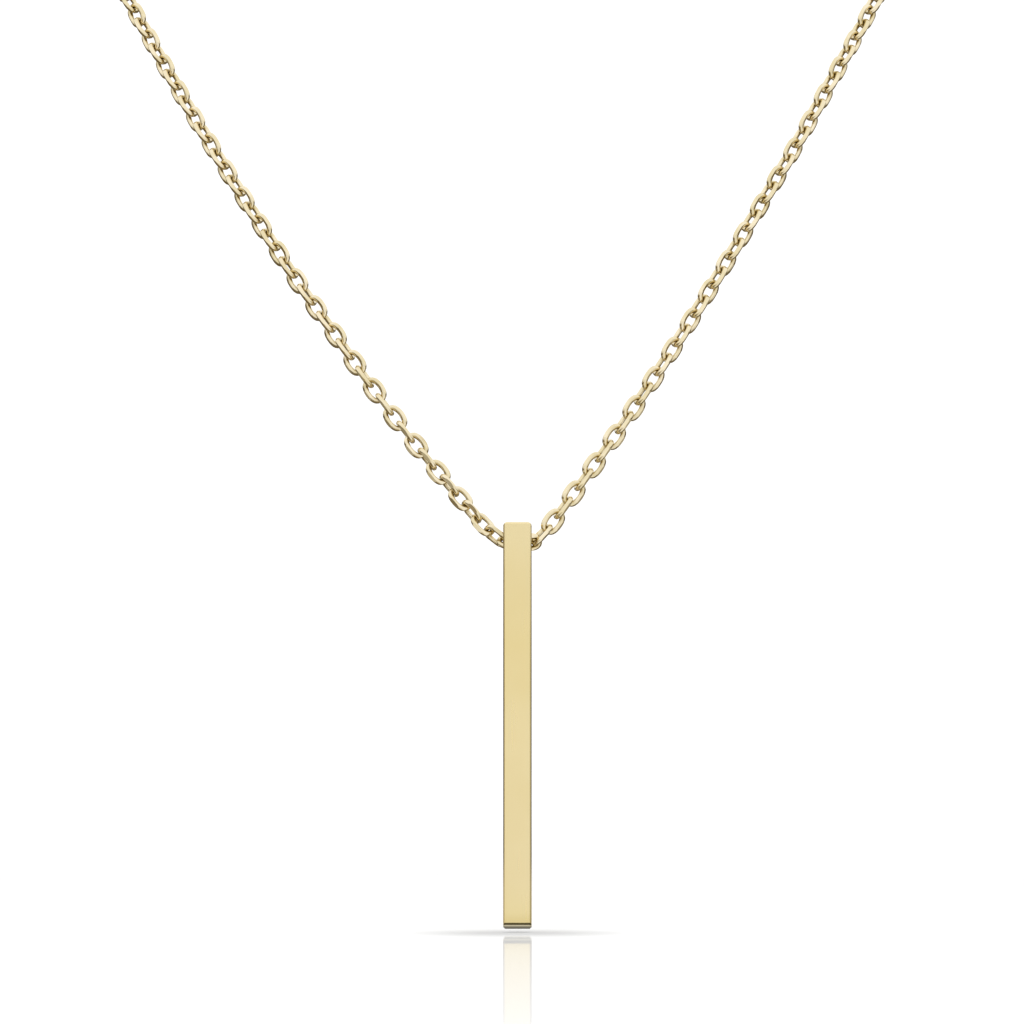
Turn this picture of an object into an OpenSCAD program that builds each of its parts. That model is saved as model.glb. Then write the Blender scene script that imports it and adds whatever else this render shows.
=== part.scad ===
// Bar pendant: a slim square bar that hangs from a fine cable chain, worn round the neck.
// Millimetres, +Z up, the front faces -Y. The origin is at the nape, in the middle of the clasp.

/* [Bar] */
// Length of the bar from its top to its foot
bar_l = 30; // [22:0.5:42]
// Width of the bar from side to side
bar_w = 2.1; // [1.8:0.1:2.4]
// Metal left in front of the bore, and behind it
bore_wall = 0.25; // [0.2:0.05:0.6]
// Metal left above the bore
bore_top = 0.7; // [0.5:0.1:2]
// Radius of the bar's four long edges
edge_r = 0.14; // [0.06:0.02:0.3]
// Radius of the two top corners, seen from the front
corner_r = 0.3; // [0.1:0.05:0.5]
// Height of the bevel at the front and back of the foot
foot_bevel = 0.46; // [0.2:0.02:0.6]
// Depth of this bevel
foot_inset = 0.24; // [0.1:0.02:0.4]
// Bevel at the two sides of the foot
foot_side = 0.14; // [0.08:0.02:0.3]
// Bevel on the two rims of the bore
rim_bevel = 0.14; // [0.05:0.01:0.16]

/* [Chain] */
// Distance along the chain from one link to the next
link_pitch = 1.3; // [1.2:0.02:1.4]
// Width of a link over its wire
link_w = 1.4; // [1.3:0.02:1.44]
// Thickness of the links' wire
wire_d = 0.32; // [0.26:0.01:0.34]
// Free space between two links where they hook together
link_gap = 0.13; // [0.1:0.01:0.2]
// Free space round the chain inside the bar's bore
bore_play = 0.15; // [0.1:0.01:0.3]
// Links on each side of the bar, apart from the two that share its bore
links_a_side = 41; // [20:1:44]
// Free space between the last of these links and the plain stretch behind it
meet_gap = 0.12; // [0.1:0.01:0.3]

/* [Necklace] */
// Distance from the clasp at the nape forward to the bar
neck_depth = 120; // [112:1:128]
// Distance from the clasp down to the middle of the bar's bore
neck_drop = 104; // [98:1:110]

/* [Clasp] */
// Outer diameter of the clasp's ring
ring_d = 5.6; // [4.5:0.1:7]
// Thickness of the ring
ring_wire = 1; // [0.7:0.05:1.3]
// Outer diameter of the eyes on its two sides
eye_d = 2.1; // [1.9:0.05:2.8]
// Thickness of an eye's wire
eye_wire = 0.45; // [0.35:0.05:0.55]
// How deep an eye is sunk into the ring
eye_sink = 0.3; // [0.2:0.02:0.4]

/* [Hidden] */
gold = "#e6cf8f";
pale_gold = "#e3cb92";
wire_sides = 5;
bend_steps = 4;
tube_sides = 8;
ring_every = 4.5;
route_steps = 8;
fine_fn = 48;

// How far a cutting shape reaches past the metal.
past = 1;

// The bore clears the chain, and the bar is as deep as the bore and its two walls.
wire_r = wire_d / 2;
chain_r = norm([link_w / 2, wire_r]);
bore_r = chain_r + bore_play;
bar_d = 2 * (bore_r + bore_wall);
bore_drop = bore_r + bore_top;

// Where the bar hangs, measured from the nape, and the upright line in the middle of the neck.
hang = [0, -neck_depth, -neck_drop];
neck_axis = [0, -neck_depth / 2];

// Where the chain ends: in the clasp's two eyes.
eye_centre = ring_d / 2 + eye_d / 2 - eye_sink;
eye_reach = eye_centre + eye_d / 2;
chain_end = eye_reach - eye_wire / 2 - link_gap;

// The chain's route on each side of the bar. The columns are: out from the bar's side,
// back and up from the middle of its bore, and the turn of the links about the chain in degrees.
// The tables are drawn for a necklace of one depth and drop, and stretch with both.
drawn_for = [120, 104];
mid_turn = 128;
left_route = [
    [0.1, 0, 0.1, 133], [1.1, 0.2, 0.95, 140], [3.2, 0.9, 3.35, 155], [6.5, 1.8, 7.3, 167],
    [9.6, 2.6, 11.4, 180], [12.5, 3.8, 15.5, 188], [15.4, 5.3, 19.6, 188], [18.1, 6.9, 23.75, 193],
    [20.7, 8.7, 27.85, 191], [23.2, 10.8, 31.95, 190], [25.55, 13, 36, 186], [27.8, 15.4, 40, 185],
    [32.4, 20.8, 48, 186], [38.7, 29, 58, 194], [45.8, 40, 68.5, 206], [52.7, 54, 78.5, 218],
    [57, 71, 87, 225], [56.3, 88, 93.5, 225], [49.7, 103, 98.5, 225], [37.5, 113.6, 102, 225],
    [22.5, 119, 103.6, 225], [11, 120, 104, 180]
];
right_route = [
    [0.4, 0, 0.1, 114], [1.25, 0.1, 1.15, 104], [3.05, 0.5, 3.6, 101], [6.1, 1.1, 7.85, 101],
    [9, 1.6, 12.15, 106], [11.75, 2.4, 16.45, 110], [14.4, 3.5, 20.75, 109],
    [17, 5, 25.05, 107], [19.5, 6.7, 29.25, 105], [21.85, 8.7, 33.45, 102],
    [24.15, 10.9, 37.6, 101], [29.8, 17.2, 47.5, 103], [37.2, 27, 58.5, 114],
    [45.2, 40, 69, 126], [52.7, 54, 78.5, 135], [57, 71, 87, 135], [56.3, 88, 93.5, 135],
    [49.7, 103, 98.5, 135], [37.5, 113.6, 102, 135], [22.5, 119, 103.6, 135],
    [11, 120, 104, 90]
];

// One strand in the part's own frame: side is -1 on the left and 1 on the right.
function strand(table, side) =
    let (back = neck_depth / drawn_for[0], up = neck_drop / drawn_for[1])
    concat(
        [for (p = table) [side * (bar_w / 2 + p[0]), hang[1] + back * p[1], hang[2] + up * p[2], p[3]]],
        [[side * chain_end, 0, 0, table[len(table) - 1][3]]]
    );
function reversed(list) = [for (i = [len(list) - 1:-1:0]) list[i]];
left_strand = reversed(strand(left_route, -1));
route = concat(left_strand, [[hang[0], hang[1], hang[2], mid_turn]], strand(right_route, 1));

// A smooth curve through the route's points.
function route_point(i) =
    i < 0 ? 2 * route[0] - route[1] :
    i < len(route) ? route[i] : 2 * route[len(route) - 1] - route[len(route) - 2];
function between(i, t) =
    let (a = route_point(i - 1), b = route_point(i), c = route_point(i + 1), d = route_point(i + 2))
    (2 * b + (c - a) * t + (2 * a - 5 * b + 4 * c - d) * t ^ 2 + (3 * b - a - 3 * c + d) * t ^ 3) / 2;
curve = [
    for (i = [0:len(route) - 2], k = [0:route_steps - 1]) between(i, k / route_steps),
    route[len(route) - 1]
];
function place(p) = [p[0], p[1], p[2]];
steps = [for (i = [1:len(curve) - 1]) norm(place(curve[i]) - place(curve[i - 1]))];
travelled = [
    for (i = 0, sum = 0; i <= len(steps); sum = sum + (i < len(steps) ? steps[i] : 0), i = i + 1) sum
];
middle = travelled[len(left_strand) * route_steps];
start = travelled[0] - middle;
finish = travelled[len(travelled) - 1] - middle;

// Everything along the chain is found by its distance from the middle of the bar.
function column(n) = [for (i = [0:len(curve) - 1]) [travelled[i] - middle, curve[i][n]]];
along = [for (n = [0:3]) column(n)];
function at(s) = [lookup(s, along[0]), lookup(s, along[1]), lookup(s, along[2])];
function turn_at(s) = lookup(s, along[3]);

// The direction away from the neck, square to the chain.
function unit(v) = v / norm(v);
function outward(p, ahead) =
    let (out = [p[0] - neck_axis[0], p[1] - neck_axis[1], 0])
    unit(out - (out * ahead) * ahead);

// The links hook at points one pitch apart, and their planes turn by a quarter from link to link.
first_hook = 0.15;
function hook(k) = at(first_hook + k * link_pitch);
function ahead_of(k) = unit(hook(k + 1) - hook(k));
function face_of(k) =
    let (
        ahead = ahead_of(k),
        out = outward((hook(k) + hook(k + 1)) / 2, ahead),
        turn = turn_at(first_hook + (k + 0.5) * link_pitch) + (k % 2 == 0 ? 90 : 0)
    )
    cos(turn) * out - sin(turn) * cross(out, ahead);

// Where two links hook, their end wires lie apart along the line that is square to both.
link_half = (link_pitch + wire_d + link_gap) / 2;
hook_half = (wire_d + link_gap) / 2;
function apart(k) =
    let (line = unit(cross(cross(face_of(k - 1), ahead_of(k - 1)), cross(face_of(k), ahead_of(k)))))
    line * ahead_of(k) > 0 ? line : -line;

// The corners of a link's middle line: along it, across it, and the direction outward.
link_bend = link_w / 2 - wire_r;
link_straight = link_half - link_bend;
link_line = [
    for (end = [1, -1], a = [-90:180 / bend_steps:90])
        [end * (link_straight + link_bend * cos(a)), end * link_bend * sin(a), end * cos(a), end * sin(a)]
];
function link_corners(k) =
    let (
        a = hook(k) - hook_half * apart(k),
        b = hook(k + 1) + hook_half * apart(k + 1),
        ahead = unit(b - a),
        centre = (a + b) / 2,
        side = unit(cross(face_of(k), ahead)),
        face = cross(ahead, side)
    )
    [
        for (p = link_line, j = [0:wire_sides - 1])
            let (t = 360 / wire_sides * (j + 0.5))
            centre + (p[0] + wire_r * cos(t) * p[2]) * ahead
                + (p[1] + wire_r * cos(t) * p[3]) * side + wire_r * sin(t) * face
    ];
function link_faces(first) = [
    for (i = [0:len(link_line) - 1], j = [0:wire_sides - 1])
        let (i2 = (i + 1) % len(link_line), j2 = (j + 1) % wire_sides)
        [
            first + i * wire_sides + j, first + i * wire_sides + j2,
            first + i2 * wire_sides + j2, first + i2 * wire_sides + j
        ]
];

module links(first, last) {
    link_points = len(link_line) * wire_sides;
    polyhedron(
        [for (k = [first:last]) each link_corners(k)],
        [for (k = [0:last - first]) each link_faces(k * link_points)]
    );
}

// A plain round stretch of the chain between two distances.
module plain_stretch(from, to) {
    rings = ceil((to - from) / ring_every);
    reach = (to - from) / rings;
    corners = [
        for (i = [0:rings])
            let (
                s = from + i * reach,
                p = at(s),
                ahead = unit(at(s + link_pitch / 2) - at(s - link_pitch / 2)),
                out = outward(p, ahead),
                over = cross(out, ahead)
            )
            for (j = [0:tube_sides - 1])
                let (a = 360 * j / tube_sides)
                p + link_w / 2 * (cos(a) * out + sin(a) * over)
    ];
    walls = [
        for (i = [0:rings - 1], j = [0:tube_sides - 1])
            let (j2 = (j + 1) % tube_sides)
            [
                i * tube_sides + j, i * tube_sides + j2,
                (i + 1) * tube_sides + j2, (i + 1) * tube_sides + j
            ]
    ];
    near_cap = [for (j = [tube_sides - 1:-1:0]) j];
    far_cap = [for (j = [0:tube_sides - 1]) rings * tube_sides + j];
    polyhedron(corners, concat(walls, [near_cap, far_cap]));
}

// A square outline with rounded corners.
module soft_square(w, d, r) {
    square([w - 2 * r, d], center = true);
    square([w, d - 2 * r], center = true);
    for (x = [-1, 1], y = [-1, 1])
        translate([x * (w / 2 - r), y * (d / 2 - r)]) circle(r, $fn = fine_fn);
}

// The bar's outline from the front or the side: soft at the top and bevelled at the foot.
module upright_outline(w, top_r, bevel, inset) {
    translate([-w / 2, bevel]) square([w, bar_l - bevel - top_r]);
    translate([-w / 2 + top_r, bar_l - top_r]) square([w - 2 * top_r, top_r]);
    for (x = [-1, 1])
        translate([x * (w / 2 - top_r), bar_l - top_r]) circle(top_r, $fn = fine_fn);
    polygon([
        [-w / 2 + inset, 0], [w / 2 - inset, 0], [w / 2, bevel],
        [w / 2, bevel + inset], [-w / 2, bevel + inset], [-w / 2, bevel]
    ]);
}

module bore() {
    rotate([0, 90, 0]) {
        cylinder(h = bar_w + 2 * past, r = bore_r, center = true, $fn = fine_fn);
        for (end = [-1, 1])
            translate([0, 0, end * bar_w / 2])
                mirror([0, 0, end < 0 ? 1 : 0])
                    translate([0, 0, -rim_bevel])
                        cylinder(h = 2 * rim_bevel, r1 = bore_r, r2 = bore_r + 2 * rim_bevel, $fn = fine_fn);
    }
}

module bar() {
    color(gold)
        translate(hang)
            difference() {
                translate([0, 0, bore_drop - bar_l])
                    intersection() {
                        linear_extrude(bar_l) soft_square(bar_w, bar_d, edge_r);
                        rotate([90, 0, 0])
                            linear_extrude(bar_d + 2 * past, center = true)
                                upright_outline(bar_w, corner_r, foot_side, foot_side);
                        rotate([90, 0, 90])
                            linear_extrude(bar_w + 2 * past, center = true)
                                upright_outline(bar_d, edge_r, foot_bevel, foot_inset);
                    }
                bore();
            }
}

module chain_front() {
    color(pale_gold) links(-links_a_side, links_a_side);
}

module chain_back() {
    overhang = link_half + wire_r + meet_gap - link_pitch / 2;
    tube_end = eye_reach - chain_end + meet_gap;
    color(pale_gold) {
        plain_stretch(start + tube_end, first_hook - links_a_side * link_pitch - overhang);
        plain_stretch(first_hook + (links_a_side + 1) * link_pitch + overhang, finish - tube_end);
    }
}

module torus(d, wire) {
    rotate_extrude($fn = fine_fn)
        translate([(d - wire) / 2, 0]) circle(wire / 2, $fn = fine_fn);
}

module clasp() {
    color(gold)
        rotate([90, 0, 0]) {
            torus(ring_d, ring_wire);
            for (side = [-1, 1])
                translate([side * eye_centre, 0, 0]) torus(eye_d, eye_wire);
        }
}

bar();
chain_front();
chain_back();
clasp();
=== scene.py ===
import bisect
import math

import bmesh
import bpy
from mathutils import Matrix, Vector


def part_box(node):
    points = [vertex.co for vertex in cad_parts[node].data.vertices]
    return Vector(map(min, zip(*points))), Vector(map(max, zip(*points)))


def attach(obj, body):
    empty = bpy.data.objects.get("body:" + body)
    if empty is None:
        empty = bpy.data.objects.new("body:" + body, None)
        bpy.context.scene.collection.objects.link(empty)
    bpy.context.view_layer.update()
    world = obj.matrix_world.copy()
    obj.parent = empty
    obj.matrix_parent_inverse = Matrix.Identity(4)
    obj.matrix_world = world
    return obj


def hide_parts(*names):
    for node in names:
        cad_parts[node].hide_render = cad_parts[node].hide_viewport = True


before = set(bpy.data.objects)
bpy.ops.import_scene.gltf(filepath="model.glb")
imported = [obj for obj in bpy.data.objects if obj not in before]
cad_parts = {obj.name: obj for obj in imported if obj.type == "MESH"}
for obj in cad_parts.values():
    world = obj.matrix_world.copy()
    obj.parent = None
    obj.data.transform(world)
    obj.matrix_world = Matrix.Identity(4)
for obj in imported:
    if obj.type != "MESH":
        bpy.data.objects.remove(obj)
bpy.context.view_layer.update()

MM = 0.001

# Sizes of the necklace
BAR_W = 2.1 * MM
NECK_DEPTH = 120 * MM
NECK_DROP = 104 * MM
RING_D = 5.6 * MM
EYE_D = 2.1 * MM
EYE_WIRE = 0.45 * MM
EYE_SINK = 0.3 * MM
EYE_GAP = 0.13 * MM

# Sizes of the chain
PITCH = 1.3 * MM
FIRST_HOOK = 0.15 * MM
FRONT_LINKS = 41
WIRE_D = 0.39 * MM
SIDE_SPREAD = 1.1
HOOK_GAP = 0.02 * MM
SIDE_OUT = 0.51 * MM
END_BEND = 0.44 * MM
CUT_OUT = 0.546 * MM

HANG = Vector((0, -NECK_DEPTH, -NECK_DROP))
NECK_AXIS = Vector((0, -NECK_DEPTH / 2, 0))
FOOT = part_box("bar")[0].z

# Camera
AIM = Vector((-0.4 * MM, -NECK_DEPTH, -101.69 * MM))
CAMERA_BACK = 600 * MM
LENS = 285.6
SENSOR = 36
NEAREST_SEEN = 0.01
FARTHEST_SEEN = 20


def set_camera():
    data = bpy.data.cameras.new("camera")
    data.lens = LENS
    data.sensor_width = SENSOR
    data.clip_start = NEAREST_SEEN
    data.clip_end = FARTHEST_SEEN
    camera = bpy.data.objects.new("camera", data)
    camera.location = AIM - Vector((0, CAMERA_BACK, 0))
    camera.rotation_euler = (math.radians(90), 0, 0)
    bpy.context.scene.collection.objects.link(camera)
    bpy.context.scene.camera = camera


set_camera()
bpy.context.scene.view_settings.view_transform = "Standard"


# Node helpers
def add(tree, kind, **settings):
    node = tree.nodes.new(kind)
    for name, value in settings.items():
        setattr(node, name, value)
    return node


def join(tree, source, target):
    tree.links.new(source, target)


def feed(tree, value, socket):
    if isinstance(value, bpy.types.NodeSocket):
        join(tree, value, socket)
    else:
        socket.default_value = value


def math_node(tree, operation, a, b=0.0, clamp=False):
    node = add(tree, "ShaderNodeMath", operation=operation, use_clamp=clamp)
    feed(tree, a, node.inputs[0])
    feed(tree, b, node.inputs[1])
    return node.outputs[0]


def ramp_node(tree, factor, stops, kind="EASE"):
    node = add(tree, "ShaderNodeValToRGB")
    ramp = node.color_ramp
    ramp.interpolation = kind
    while len(ramp.elements) < len(stops):
        ramp.elements.new(0.5)
    for element, (place, value) in zip(ramp.elements, stops):
        element.position = place
        colour = value if isinstance(value, tuple) else (value, value, value)
        element.color = (*colour, 1)
    join(tree, factor, node.inputs["Fac"])
    return node.outputs["Color"]


def range_node(tree, value, before, after=(0, 1)):
    node = add(tree, "ShaderNodeMapRange", clamp=True)
    join(tree, value, node.inputs["Value"])
    node.inputs["From Min"].default_value = before[0]
    node.inputs["From Max"].default_value = before[1]
    node.inputs["To Min"].default_value = after[0]
    node.inputs["To Max"].default_value = after[1]
    return node.outputs["Result"]


def mix_node(tree, share, a, b, blend="MIX", clamp=True):
    node = add(tree, "ShaderNodeMix", data_type="RGBA", blend_type=blend, clamp_factor=clamp)
    feed(tree, share, node.inputs["Factor"])
    for label, value in (("A", a), ("B", b)):
        feed(tree, (*value, 1) if isinstance(value, tuple) else value, node.inputs[label])
    return node.outputs["Result"]


def split_node(tree, vector):
    node = add(tree, "ShaderNodeSeparateXYZ")
    join(tree, vector, node.inputs[0])
    return node.outputs


def length_node(tree, x, y):
    flat = add(tree, "ShaderNodeCombineXYZ")
    join(tree, x, flat.inputs["X"])
    join(tree, y, flat.inputs["Y"])
    node = add(tree, "ShaderNodeVectorMath", operation="LENGTH")
    join(tree, flat.outputs[0], node.inputs[0])
    return node.outputs["Value"]


def blend_shaders(tree, share, first, second):
    node = add(tree, "ShaderNodeMixShader")
    join(tree, share, node.inputs["Fac"])
    join(tree, first.outputs[0], node.inputs[1])
    join(tree, second.outputs[0], node.inputs[2])
    return node


# The studio: white to the eye, with soft bright and dim zones where the metal mirrors it
WHITE = (1, 1, 1)
DEEP_SHADE = (0.15, 0.12, 0.07)
FRONT_PANEL = [(0.0, 0.95), (0.2, 0.9), (0.36, 0.0)]
SIDE_PANELS = [(0.38, 0.0), (0.46, 0.5), (0.54, 0.5), (0.62, 0.0), (0.9, 0.0), (0.95, 1.0)]
PANEL_HEIGHT = [(0.4, 0.0), (0.46, 1.0), (0.6, 1.0), (0.67, 0.0)]
SKY = [(0.5, 0.0), (0.58, 0.85), (0.66, 1.0), (1.0, 1.0)]
SKY_SHINE = 1.05
FILL = 1.12


def build_studio():
    world = bpy.data.worlds.new("studio")
    bpy.context.scene.world = world
    world.use_nodes = True
    tree = world.node_tree
    tree.nodes.clear()
    towards = split_node(tree, add(tree, "ShaderNodeTexCoord").outputs["Generated"])
    sideways = math_node(tree, "ABSOLUTE", towards["X"])
    forward = math_node(tree, "MULTIPLY", towards["Y"], -1)
    turn = math_node(tree, "ARCTAN2", sideways, forward)
    turn = math_node(tree, "DIVIDE", turn, math.pi)
    rise = math_node(tree, "ARCSINE", towards["Z"])
    rise = math_node(tree, "DIVIDE", rise, math.pi)
    rise = math_node(tree, "ADD", rise, 0.5)
    aside = math_node(tree, "ARCCOSINE", forward)
    aside = math_node(tree, "DIVIDE", aside, math.pi)
    sides = math_node(
        tree, "MULTIPLY", ramp_node(tree, turn, SIDE_PANELS), ramp_node(tree, rise, PANEL_HEIGHT)
    )
    light = math_node(tree, "MAXIMUM", ramp_node(tree, aside, FRONT_PANEL), sides)
    sky = math_node(tree, "MULTIPLY", ramp_node(tree, rise, SKY), SKY_SHINE)
    light = math_node(tree, "MAXIMUM", light, sky)
    shine = add(tree, "ShaderNodeBackground")
    join(tree, mix_node(tree, light, DEEP_SHADE, WHITE, clamp=False), shine.inputs["Color"])
    fill = add(tree, "ShaderNodeBackground")
    fill.inputs["Color"].default_value = (*WHITE, 1)
    fill.inputs["Strength"].default_value = FILL
    path = add(tree, "ShaderNodeLightPath")
    either = blend_shaders(tree, path.outputs["Is Glossy Ray"], fill, shine)
    out = add(tree, "ShaderNodeOutputWorld")
    join(tree, either.outputs[0], out.inputs["Surface"])


SOFTBOX_PLACE = Vector((0.25, -1.0, 0.45))
SOFTBOX_SIZE = 0.5
SOFTBOX_POWER = 6


def hang_softbox():
    data = bpy.data.lights.new("front softbox", "AREA")
    data.shape = "SQUARE"
    data.size = SOFTBOX_SIZE
    data.energy = SOFTBOX_POWER
    data.use_shadow = False
    lamp = bpy.data.objects.new("front softbox", data)
    lamp.location = SOFTBOX_PLACE
    aim = HANG - SOFTBOX_PLACE
    lamp.rotation_euler = aim.to_track_quat("-Z", "Y").to_euler()
    lamp.visible_camera = False
    lamp.visible_glossy = False
    bpy.context.scene.collection.objects.link(lamp)


build_studio()
hang_softbox()

# The floor: pale, with a painted contact shadow and a fading mirror image at the bar's foot
FLOOR_DROP = 0.31 * MM
FLOOR_HALF = 3.0
SHADE_REACH = (8 * MM, 6 * MM)
SHADE_AHEAD = 1 * MM
SHADE_TONE = [(0.0, 0.85), (0.16, 0.57), (0.34, 0.6), (0.53, 0.71), (0.71, 0.84), (1.0, 1.0)]
# Painted light: the floor is coloured darker near the bar's foot and lighter farther off, evening out the
# softbox's light, which is strongest near the foot
PAINTED_FLOOR_LIGHT = (0.76, 0.95)
PAINTED_FLOOR_LIGHT_REACH = (0.1, 0.25)
# Painted light and shade in the floor's glow near the foot: dim close in, with one bright band, mirrored
# in the bar's foot bevel
FOOT_REACH = 5 * MM
FOOT_DIM = [(0.0, 0.16), (0.225, 0.17), (0.252, 0.3), (0.272, 0.85), (0.288, 0.1), (0.33, 0.1), (0.8, 1.0)]
MIRROR_AHEAD = 0.2
MIRROR_NARROW = 12
MIRROR_SHARE = 0.44
MIRROR_GLOSS = 0.04
GRAZING = (0.5, 0.66)
GRAZING_SHEEN = (0.85, 0.82, 0.74)
SHEEN_REACH = (0.08, 0.13)
# Painted light and shade: the floor's glow, bright or deep shade by direction round the foot
FLOOR_GLOW_ROUND = [
    (0.0, (0.55, 0.5, 0.45)), (0.03, DEEP_SHADE), (0.34, DEEP_SHADE), (0.41, (0.38, 0.31, 0.2)),
    (0.45, (0.62, 0.54, 0.4)), (0.49, (0.9, 0.9, 0.9)), (0.54, (1, 1, 1)), (0.65, (0.95, 0.95, 0.95)),
    (0.71, DEEP_SHADE), (0.97, DEEP_SHADE), (1.0, (0.55, 0.5, 0.45)),
]


# Painted contact shadow: the floor's colour is darkened in an oval round the bar's foot
def contact_shade(tree, x, y):
    across = math_node(tree, "DIVIDE", x, SHADE_REACH[0])
    along = math_node(tree, "ADD", y, SHADE_AHEAD)
    along = math_node(tree, "DIVIDE", along, SHADE_REACH[1])
    return ramp_node(tree, length_node(tree, across, along), SHADE_TONE, "LINEAR")


def beside_bar(tree, x):
    under_bar = math_node(tree, "MAXIMUM", x, -BAR_W / 2)
    under_bar = math_node(tree, "MINIMUM", under_bar, BAR_W / 2)
    return math_node(tree, "SUBTRACT", x, under_bar)


def floor_seen(tree, shade, beside, y, from_foot):
    # Painted light: the floor's colour is darker near the foot and lighter farther off
    tone = range_node(tree, from_foot, PAINTED_FLOOR_LIGHT_REACH, PAINTED_FLOOR_LIGHT)
    matt = add(tree, "ShaderNodeBsdfDiffuse")
    join(tree, math_node(tree, "MULTIPLY", tone, shade), matt.inputs["Color"])
    mirror = add(tree, "ShaderNodeBsdfGlossy")
    mirror.inputs["Color"].default_value = (*WHITE, 1)
    mirror.inputs["Roughness"].default_value = MIRROR_GLOSS
    off_middle = math_node(tree, "MULTIPLY", beside, MIRROR_NARROW)
    share = range_node(tree, length_node(tree, off_middle, y), (0, MIRROR_AHEAD), (MIRROR_SHARE, 0))
    return blend_shaders(tree, share, matt, mirror)


# To glossy rays the floor glows with painted light: zones of light and shade round the foot, a painted
# sheen at grazing angles near the foot, and painted bands of light and shade close to the foot
def floor_glow_in_mirrors(tree, beside, y, from_foot):
    turn = math_node(tree, "ARCTAN2", beside, math_node(tree, "MULTIPLY", y, -1))
    turn = math_node(tree, "DIVIDE", turn, 2 * math.pi)
    turn = math_node(tree, "ADD", turn, 0.5)
    facing = add(tree, "ShaderNodeLayerWeight").outputs["Facing"]
    nearby = range_node(tree, from_foot, SHEEN_REACH, (1, 0))
    sheen = math_node(tree, "MULTIPLY", range_node(tree, facing, GRAZING), nearby)
    colour = mix_node(tree, sheen, ramp_node(tree, turn, FLOOR_GLOW_ROUND), GRAZING_SHEEN, "LIGHTEN")
    near_foot = math_node(tree, "DIVIDE", from_foot, FOOT_REACH, clamp=True)
    shine = add(tree, "ShaderNodeEmission")
    join(tree, colour, shine.inputs["Color"])
    join(tree, ramp_node(tree, near_foot, FOOT_DIM), shine.inputs["Strength"])
    return shine


def floor_material():
    material = bpy.data.materials.new("pale floor")
    material.use_nodes = True
    tree = material.node_tree
    tree.nodes.clear()
    under = add(tree, "ShaderNodeVectorMath", operation="SUBTRACT")
    join(tree, add(tree, "ShaderNodeTexCoord").outputs["Object"], under.inputs[0])
    under.inputs[1].default_value = HANG
    x, y, _ = split_node(tree, under.outputs[0])
    beside = beside_bar(tree, x)
    from_foot = length_node(tree, beside, y)
    seen = floor_seen(tree, contact_shade(tree, x, y), beside, y, from_foot)
    glow_in_mirrors = floor_glow_in_mirrors(tree, beside, y, from_foot)
    # Glossy rays see the floor's painted glow; other rays see its colour and mirror
    path = add(tree, "ShaderNodeLightPath")
    surface = blend_shaders(tree, path.outputs["Is Glossy Ray"], seen, glow_in_mirrors)
    out = add(tree, "ShaderNodeOutputMaterial")
    join(tree, surface.outputs[0], out.inputs["Surface"])
    return material


def lay_floor():
    bm = bmesh.new()
    level = Matrix.Translation((0, 0, FOOT - FLOOR_DROP))
    bmesh.ops.create_grid(bm, x_segments=1, y_segments=1, size=FLOOR_HALF, matrix=level)
    mesh = bpy.data.meshes.new("floor")
    bm.to_mesh(mesh)
    bm.free()
    floor = bpy.data.objects.new("floor", mesh)
    bpy.context.scene.collection.objects.link(floor)
    mesh.materials.append(floor_material())


lay_floor()


# Shared effects
def new_group(name, inputs, outputs):
    group = bpy.data.node_groups.new(name, "ShaderNodeTree")
    for label, kind in inputs:
        group.interface.new_socket(label, in_out="INPUT", socket_type=kind)
    for label, kind in outputs:
        group.interface.new_socket(label, in_out="OUTPUT", socket_type=kind)
    start = group.nodes.new("NodeGroupInput")
    end = group.nodes.new("NodeGroupOutput")
    return group, start.outputs, end.inputs


FLOAT = "NodeSocketFloat"
COLOUR = "NodeSocketColor"
GRAIN_DETAIL = 3
TONE_DETAIL = 2
TONE_SPREAD = (0.35, 0.65)


def drawn_grain_group():
    group, given, made = new_group(
        "drawn grain",
        [("Width", FLOAT), ("Length", FLOAT), ("Gloss", FLOAT), ("Spread", FLOAT)],
        [("Height", FLOAT), ("Roughness", FLOAT)],
    )
    where = add(group, "ShaderNodeTexCoord")
    stretch = add(group, "ShaderNodeCombineXYZ")
    join(group, given["Width"], stretch.inputs["X"])
    join(group, given["Width"], stretch.inputs["Y"])
    join(group, given["Length"], stretch.inputs["Z"])
    place = add(group, "ShaderNodeVectorMath", operation="MULTIPLY")
    join(group, where.outputs["Object"], place.inputs[0])
    join(group, stretch.outputs[0], place.inputs[1])
    noise = add(group, "ShaderNodeTexNoise")
    noise.inputs["Scale"].default_value = 1
    noise.inputs["Detail"].default_value = GRAIN_DETAIL
    join(group, place.outputs[0], noise.inputs["Vector"])
    join(group, noise.outputs["Fac"], made["Height"])
    off = math_node(group, "SUBTRACT", noise.outputs["Fac"], 0.5)
    off = math_node(group, "MULTIPLY", off, given["Spread"])
    join(group, math_node(group, "ADD", off, given["Gloss"]), made["Roughness"])
    return group


def gold_tone_group():
    group, given, made = new_group(
        "gold tone",
        [("Light gold", COLOUR), ("Deep gold", COLOUR), ("Size", FLOAT)],
        [("Colour", COLOUR)],
    )
    where = add(group, "ShaderNodeTexCoord")
    noise = add(group, "ShaderNodeTexNoise")
    noise.inputs["Detail"].default_value = TONE_DETAIL
    join(group, where.outputs["Object"], noise.inputs["Vector"])
    join(group, given["Size"], noise.inputs["Scale"])
    share = range_node(group, noise.outputs["Fac"], TONE_SPREAD)
    join(group, mix_node(group, share, given["Light gold"], given["Deep gold"]), made["Colour"])
    return group


DRAWN_GRAIN = drawn_grain_group()
GOLD_TONE = gold_tone_group()


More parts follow.
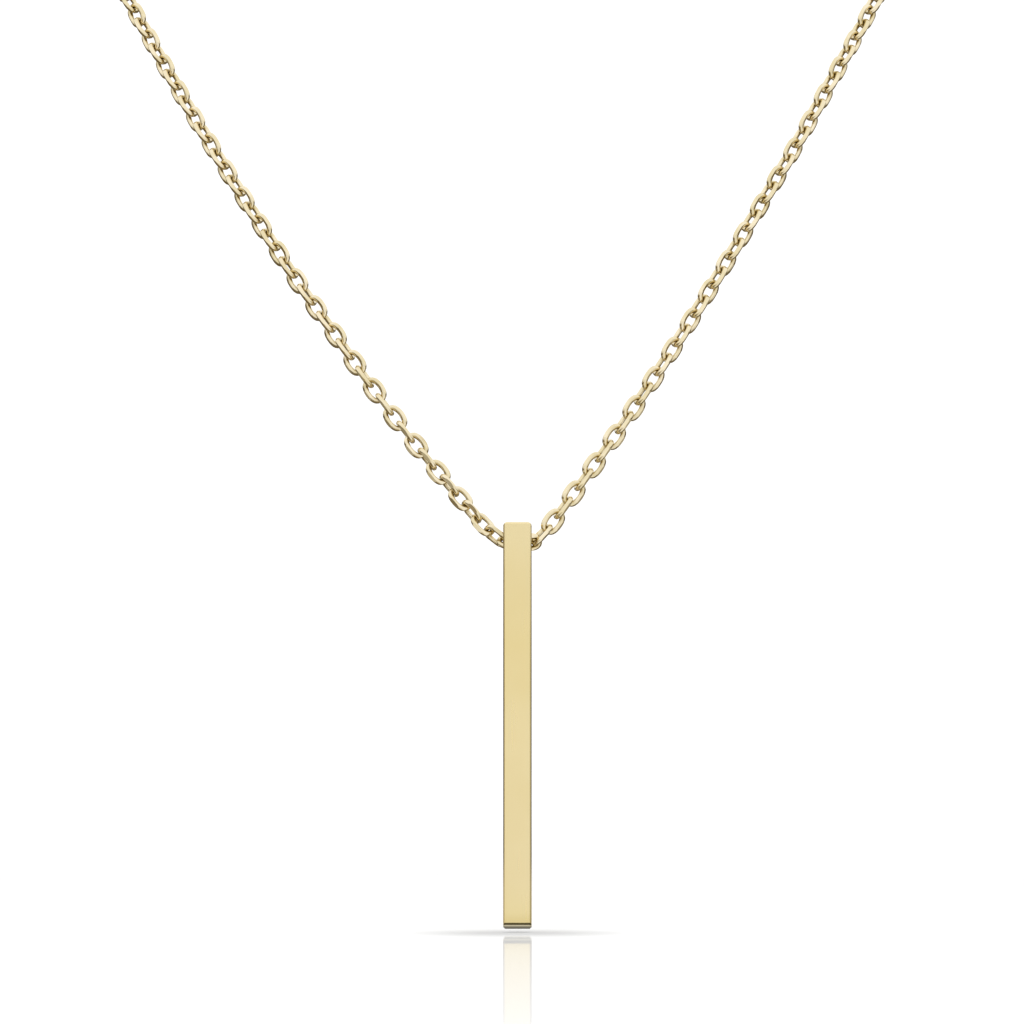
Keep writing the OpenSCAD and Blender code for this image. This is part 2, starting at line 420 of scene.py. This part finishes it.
def gold_material(name, light, deep, tone_size, grain, bump):
    material = bpy.data.materials.new(name)
    material.use_nodes = True
    tree = material.node_tree
    metal = tree.nodes["Principled BSDF"]
    metal.inputs["Metallic"].default_value = 1
    tone = add(tree, "ShaderNodeGroup", node_tree=GOLD_TONE)
    tone.inputs["Light gold"].default_value = (*light, 1)
    tone.inputs["Deep gold"].default_value = (*deep, 1)
    tone.inputs["Size"].default_value = tone_size
    join(tree, tone.outputs["Colour"], metal.inputs["Base Color"])
    lines = add(tree, "ShaderNodeGroup", node_tree=DRAWN_GRAIN)
    for label, value in zip(("Width", "Length", "Gloss", "Spread"), grain):
        lines.inputs[label].default_value = value
    join(tree, lines.outputs["Roughness"], metal.inputs["Roughness"])
    relief = add(tree, "ShaderNodeBump")
    relief.inputs["Strength"].default_value = bump[0]
    relief.inputs["Distance"].default_value = bump[1]
    join(tree, lines.outputs["Height"], relief.inputs["Height"])
    join(tree, relief.outputs["Normal"], metal.inputs["Normal"])
    return material


SATIN_GOLD = gold_material(
    "satin gold", light=(0.88, 0.755, 0.4), deep=(0.86, 0.73, 0.37), tone_size=220,
    grain=(3500, 150, 0.28, 0.04), bump=(0.03, 0.01 * MM),
)
CHAIN_GOLD = gold_material(
    "polished chain gold", light=(0.93, 0.82, 0.59), deep=(0.8, 0.69, 0.43), tone_size=700,
    grain=(2500, 2500, 0.14, 0.08), bump=(0.1, 0.01 * MM),
)
CLASP_GOLD = gold_material(
    "polished clasp gold", light=(0.88, 0.77, 0.52), deep=(0.82, 0.7, 0.43), tone_size=400,
    grain=(2500, 2500, 0.12, 0.06), bump=(0.1, 0.01 * MM),
)

# The bar's long edges are polished (lower roughness), and a thin dark line of painted shade is mixed into
# their colour down its sides
EDGE = 0.14 * MM
EDGE_LEAN = 0.03 * MM
PAINTED_EDGE_SHADE = (0.42, 0.34, 0.16)
EDGE_GLOSS = 0.06
EDGE_SHARPNESS = 2
EDGE_HEIGHT = [(0.0, 1.0), (0.6, 0.9), (0.85, 0.45), (1.0, 0.15)]
FOOT_POLISH = [(0.0, 1.0), (0.014, 1.0), (0.0155, 0.0)]
# Painted light and shade: the bar's colour shifts with height, most of all along the foot's bevel
PAINTED_BAR_LIGHT_BY_HEIGHT = [
    (0.0, (0.9, 0.97, 1.45)), (0.0085, (0.9, 0.95, 1.3)), (0.011, (1.0, 0.95, 0.9)),
    (0.0155, (0.93, 0.885, 0.8)), (0.04, (1.0, 0.98, 0.98)), (0.12, (1.03, 1.02, 1.14)),
    (0.5, (1.02, 1.0, 1.04)), (0.7, (1.0, 0.97, 0.94)), (1.0, (1.02, 1.01, 1.1)),
]


def from_middle(tree, place, middle, half):
    off = math_node(tree, "ABSOLUTE", math_node(tree, "SUBTRACT", place, middle))
    over = math_node(tree, "SUBTRACT", off, half - EDGE)
    return math_node(tree, "DIVIDE", over, EDGE, clamp=True)


def polish_edges_and_paint_shading(material, low, high):
    tree = material.node_tree
    metal = tree.nodes["Principled BSDF"]
    middle = (low + high) / 2
    half = (high - low) / 2
    x, y, z = split_node(tree, add(tree, "ShaderNodeTexCoord").outputs["Object"])
    beside = from_middle(tree, x, middle.x - EDGE_LEAN, half.x)
    behind = from_middle(tree, y, middle.y, half.y)
    edge = math_node(tree, "MINIMUM", beside, behind)
    edge = math_node(tree, "MULTIPLY", edge, EDGE_SHARPNESS, clamp=True)
    height = math_node(tree, "SUBTRACT", z, low.z)
    height = math_node(tree, "DIVIDE", height, high.z - low.z)
    edge = math_node(tree, "MULTIPLY", edge, ramp_node(tree, height, EDGE_HEIGHT))
    foot = ramp_node(tree, height, FOOT_POLISH, "LINEAR")
    # Painted shade: the edge mask mixes a dark gold into the colour
    colour = mix_node(tree, edge, metal.inputs["Base Color"].links[0].from_socket, PAINTED_EDGE_SHADE)
    # Painted light and shade by height
    painted_light = ramp_node(tree, height, PAINTED_BAR_LIGHT_BY_HEIGHT, "LINEAR")
    join(tree, mix_node(tree, 1, colour, painted_light, "MULTIPLY"), metal.inputs["Base Color"])
    gloss = add(tree, "ShaderNodeMix")
    join(tree, math_node(tree, "MAXIMUM", edge, foot), gloss.inputs["Factor"])
    join(tree, metal.inputs["Roughness"].links[0].from_socket, gloss.inputs["A"])
    gloss.inputs["B"].default_value = EDGE_GLOSS
    join(tree, gloss.outputs["Result"], metal.inputs["Roughness"])


polish_edges_and_paint_shading(SATIN_GOLD, *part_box("bar"))

# Painted shade: the gold is darkened where two links hook, standing in for the shade between them
HOOK_SHADE_GOLD = (0.39, 0.285, 0.07)
HOOKED_NEAR = 0.2 * MM
HOOKED_FAR = 0.5 * MM
HOOK_SHADE_LAYER = "hook_shade"


def paint_hook_shade(material):
    tree = material.node_tree
    metal = tree.nodes["Principled BSDF"]
    hook_shade = add(tree, "ShaderNodeAttribute", attribute_name=HOOK_SHADE_LAYER)
    plain = metal.inputs["Base Color"].links[0].from_socket
    colour = mix_node(tree, hook_shade.outputs["Fac"], plain, HOOK_SHADE_GOLD)
    join(tree, colour, metal.inputs["Base Color"])


paint_hook_shade(CHAIN_GOLD)

# The chain's route in millimetres out from the bar's side, back and up, and its links' turn in degrees
MID_TURN = 128
LEFT_ROUTE = [
    (0.1, 0, 0.1, 133), (1.1, 0.2, 0.95, 140), (3.2, 0.9, 3.35, 155), (6.5, 1.8, 7.3, 167),
    (9.6, 2.6, 11.4, 180), (12.5, 3.8, 15.5, 188), (15.4, 5.3, 19.6, 188), (18.1, 6.9, 23.75, 193),
    (20.7, 8.7, 27.85, 191), (23.2, 10.8, 31.95, 190), (25.55, 13, 36, 186), (27.8, 15.4, 40, 185),
    (32.4, 20.8, 48, 186), (38.7, 29, 58, 194), (45.8, 40, 68.5, 206), (52.7, 54, 78.5, 218),
    (57, 71, 87, 225), (56.3, 88, 93.5, 225), (49.7, 103, 98.5, 225), (37.5, 113.6, 102, 225),
    (22.5, 119, 103.6, 225), (11, 120, 104, 180),
]
RIGHT_ROUTE = [
    (0.4, 0, 0.1, 114), (1.25, 0.1, 1.15, 104), (3.05, 0.5, 3.6, 101), (6.1, 1.1, 7.85, 101),
    (9, 1.6, 12.15, 106), (11.75, 2.4, 16.45, 110), (14.4, 3.5, 20.75, 109),
    (17, 5, 25.05, 107), (19.5, 6.7, 29.25, 105), (21.85, 8.7, 33.45, 102),
    (24.15, 10.9, 37.6, 101), (29.8, 17.2, 47.5, 103), (37.2, 27, 58.5, 114),
    (45.2, 40, 69, 126), (52.7, 54, 78.5, 135), (57, 71, 87, 135), (56.3, 88, 93.5, 135),
    (49.7, 103, 98.5, 135), (37.5, 113.6, 102, 135), (22.5, 119, 103.6, 135),
    (11, 120, 104, 90),
]
ROUTE_STEPS = 8
EYE_CENTRE = RING_D / 2 + EYE_D / 2 - EYE_SINK
EYE_REACH = EYE_CENTRE + EYE_D / 2
CHAIN_END = EYE_REACH - EYE_WIRE / 2 - EYE_GAP
LAST_HOOK = EYE_REACH - EYE_WIRE - HOOK_GAP / 2


def strand(table, side):
    rows = []
    for out, back, up, turn in table:
        rows.append(Vector((side * (BAR_W / 2 + out * MM), HANG.y + back * MM, HANG.z + up * MM, turn)))
    rows.append(Vector((side * CHAIN_END, 0, 0, table[-1][3])))
    return rows


LEFT_STRAND = strand(LEFT_ROUTE, -1)[::-1]
ROUTE = LEFT_STRAND + [Vector((*HANG, MID_TURN))] + strand(RIGHT_ROUTE, 1)


def route_point(i):
    if i < 0:
        return 2 * ROUTE[0] - ROUTE[1]
    if i < len(ROUTE):
        return ROUTE[i]
    return 2 * ROUTE[-1] - ROUTE[-2]


def between(i, t):
    a, b, c, d = (route_point(i + n) for n in (-1, 0, 1, 2))
    smooth = (c - a) * t + (2 * a - 5 * b + 4 * c - d) * t**2 + (3 * b - a - 3 * c + d) * t**3
    return b + smooth / 2


CURVE = [between(i, k / ROUTE_STEPS) for i in range(len(ROUTE) - 1) for k in range(ROUTE_STEPS)]
CURVE.append(ROUTE[-1])
ALONG = [0.0]
for before, after in zip(CURVE, CURVE[1:]):
    ALONG.append(ALONG[-1] + (after.xyz - before.xyz).length)
MIDDLE = ALONG[len(LEFT_STRAND) * ROUTE_STEPS]
ALONG = [s - MIDDLE for s in ALONG]


def on_route(s):
    i = min(max(bisect.bisect_right(ALONG, s) - 1, 0), len(ALONG) - 2)
    t = (s - ALONG[i]) / (ALONG[i + 1] - ALONG[i])
    return CURVE[i].lerp(CURVE[i + 1], t)


def outward(point, ahead):
    out = Vector((point.x - NECK_AXIS.x, point.y - NECK_AXIS.y, 0))
    return (out - out.dot(ahead) * ahead).normalized()


# Where the links hook: one pitch apart in front, and evenly from there to the clasp
def hooks():
    places = {k: FIRST_HOOK + k * PITCH for k in range(-FRONT_LINKS, FRONT_LINKS + 2)}
    over = CHAIN_END - LAST_HOOK
    strands = ((ALONG[0] - over, -FRONT_LINKS, -1), (ALONG[-1] + over, FRONT_LINKS + 1, 1))
    for end, start, side in strands:
        count = round(abs(end - places[start]) / PITCH)
        for n in range(1, count + 1):
            places[start + side * n] = places[start] + (end - places[start]) * n / count
    return places


HOOKS = hooks()
FIRST = min(HOOKS)
LAST = max(HOOKS) - 1


def hook(k):
    return on_route(HOOKS[k]).xyz


def ahead_of(k):
    return (hook(k + 1) - hook(k)).normalized()


def face_of(k):
    ahead = ahead_of(k)
    out = outward((hook(k) + hook(k + 1)) / 2, ahead)
    turn = on_route((HOOKS[k] + HOOKS[k + 1]) / 2).w + (90 if k % 2 == 0 else 0)
    turn = math.radians(turn)
    return math.cos(turn) * out - math.sin(turn) * out.cross(ahead)


def apart(k):
    if k == FIRST or k == LAST + 1:
        return ahead_of(min(k, LAST))
    before = face_of(k - 1).cross(ahead_of(k - 1))
    after = face_of(k).cross(ahead_of(k))
    line = before.cross(after).normalized()
    return line if line.dot(ahead_of(k)) > 0 else -line


HOOK_HALF = (WIRE_D + HOOK_GAP) / 2
SAME_PLACE = 0.001 * MM
ON_CUT = 0.0001 * MM


def link_place(k):
    a = hook(k) - HOOK_HALF * apart(k)
    b = hook(k + 1) + HOOK_HALF * apart(k + 1)
    ahead = (b - a).normalized()
    side = face_of(k).cross(ahead).normalized()
    face = ahead.cross(side)
    turned = Matrix((ahead, side, face)).transposed().to_4x4()
    return Matrix.Translation((a + b) / 2) @ turned


# One link: a round wire bent to an oval, with two flat cuts along each long side
def swing(bm, ring, centre, degrees, steps):
    made = bmesh.ops.spin(
        bm, geom=ring, cent=centre, axis=(0, 0, 1), dvec=(0, 0, 0),
        angle=math.radians(degrees), steps=steps, use_merge=False, use_duplicate=False,
    )
    return made["geom_last"]


# Painted shade mask: full near where the next link hooks, fading out farther away
def mark_hook_shade(bm):
    hook_shade = bm.verts.layers.float.new(HOOK_SHADE_LAYER)
    for vert in bm.verts:
        along = abs(vert.co.x) - (PITCH / 2 - HOOK_HALF)
        away = Vector((along, vert.co.y, vert.co.z)).length
        vert[hook_shade] = min(max((HOOKED_FAR - away) / (HOOKED_FAR - HOOKED_NEAR), 0), 1)


def link_mesh(name, wire_sides, end_steps, side_steps):
    half = PITCH / 2 + HOOK_HALF
    end_x = half - END_BEND
    side_bend = (end_x**2 + SIDE_OUT**2 - END_BEND**2) / (2 * (SIDE_OUT - END_BEND))
    side_y = side_bend - SIDE_OUT
    sweep = math.degrees(math.atan2(end_x, side_y))
    bm = bmesh.new()
    stand = Matrix.Translation((0, SIDE_OUT, 0)) @ Matrix.Rotation(math.radians(90), 4, "Y")
    flat_side = Matrix.Rotation(math.pi / wire_sides, 4, "Z")
    bmesh.ops.create_circle(bm, segments=wire_sides, radius=WIRE_D / 2, matrix=stand @ flat_side)
    ring = bm.verts[:] + bm.edges[:]
    ring = swing(bm, ring, (0, -side_y, 0), -sweep, side_steps)
    ring = swing(bm, ring, (end_x, 0, 0), -(180 - 2 * sweep), end_steps)
    ring = swing(bm, ring, (0, side_y, 0), -2 * sweep, 2 * side_steps)
    ring = swing(bm, ring, (-end_x, 0, 0), -(180 - 2 * sweep), end_steps)
    swing(bm, ring, (0, -side_y, 0), -sweep, side_steps)
    bmesh.ops.remove_doubles(bm, verts=bm.verts[:], dist=SAME_PLACE)
    bmesh.ops.scale(bm, vec=(1, SIDE_SPREAD, 1), verts=bm.verts[:])
    bmesh.ops.recalc_face_normals(bm, faces=bm.faces[:])
    for face in bm.faces:
        face.smooth = True
    for y, z in ((1, 1), (1, -1), (-1, 1), (-1, -1)):
        slant = Vector((0, y, z)).normalized()
        cut = bmesh.ops.bisect_plane(
            bm, geom=bm.verts[:] + bm.edges[:] + bm.faces[:], dist=ON_CUT,
            plane_co=CUT_OUT * slant, plane_no=slant, clear_outer=True,
        )
        rim = [e for e in cut["geom_cut"] if isinstance(e, bmesh.types.BMEdge)]
        flat = bmesh.ops.holes_fill(bm, edges=rim, sides=0)["faces"]
        for face in flat:
            face.smooth = False
        for edge in rim:
            edge.smooth = False
    bmesh.ops.recalc_face_normals(bm, faces=bm.faces[:])
    mark_hook_shade(bm)
    mesh = bpy.data.meshes.new(name)
    bm.to_mesh(mesh)
    bm.free()
    return mesh


def chain_piece(name, pattern, numbers):
    bm = bmesh.new()
    for k in numbers:
        link = pattern.copy()
        link.transform(link_place(k))
        bm.from_mesh(link)
        bpy.data.meshes.remove(link)
    mesh = bpy.data.meshes.new(name)
    bm.to_mesh(mesh)
    bm.free()
    mesh.materials.append(CHAIN_GOLD)
    piece = bpy.data.objects.new(name, mesh)
    bpy.context.scene.collection.objects.link(piece)
    return piece


near_link = link_mesh("near link", wire_sides=12, end_steps=10, side_steps=3)
far_link = link_mesh("far link", wire_sides=6, end_steps=4, side_steps=1)
front_numbers = list(range(-FRONT_LINKS, FRONT_LINKS + 1))
left_numbers = list(range(FIRST, -FRONT_LINKS))
right_numbers = list(range(FRONT_LINKS + 1, LAST + 1))
front_chain = chain_piece("front_chain", near_link, front_numbers)
back_chain = chain_piece("back_chain", far_link, left_numbers + right_numbers)
for pattern in (near_link, far_link):
    bpy.data.meshes.remove(pattern)

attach(front_chain, "chain")
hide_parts("chain_front")
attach(back_chain, "chain")
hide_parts("chain_back")

for node, material in (("bar", SATIN_GOLD), ("clasp", CLASP_GOLD)):
    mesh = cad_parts[node].data
    mesh.materials.clear()
    mesh.materials.append(material)
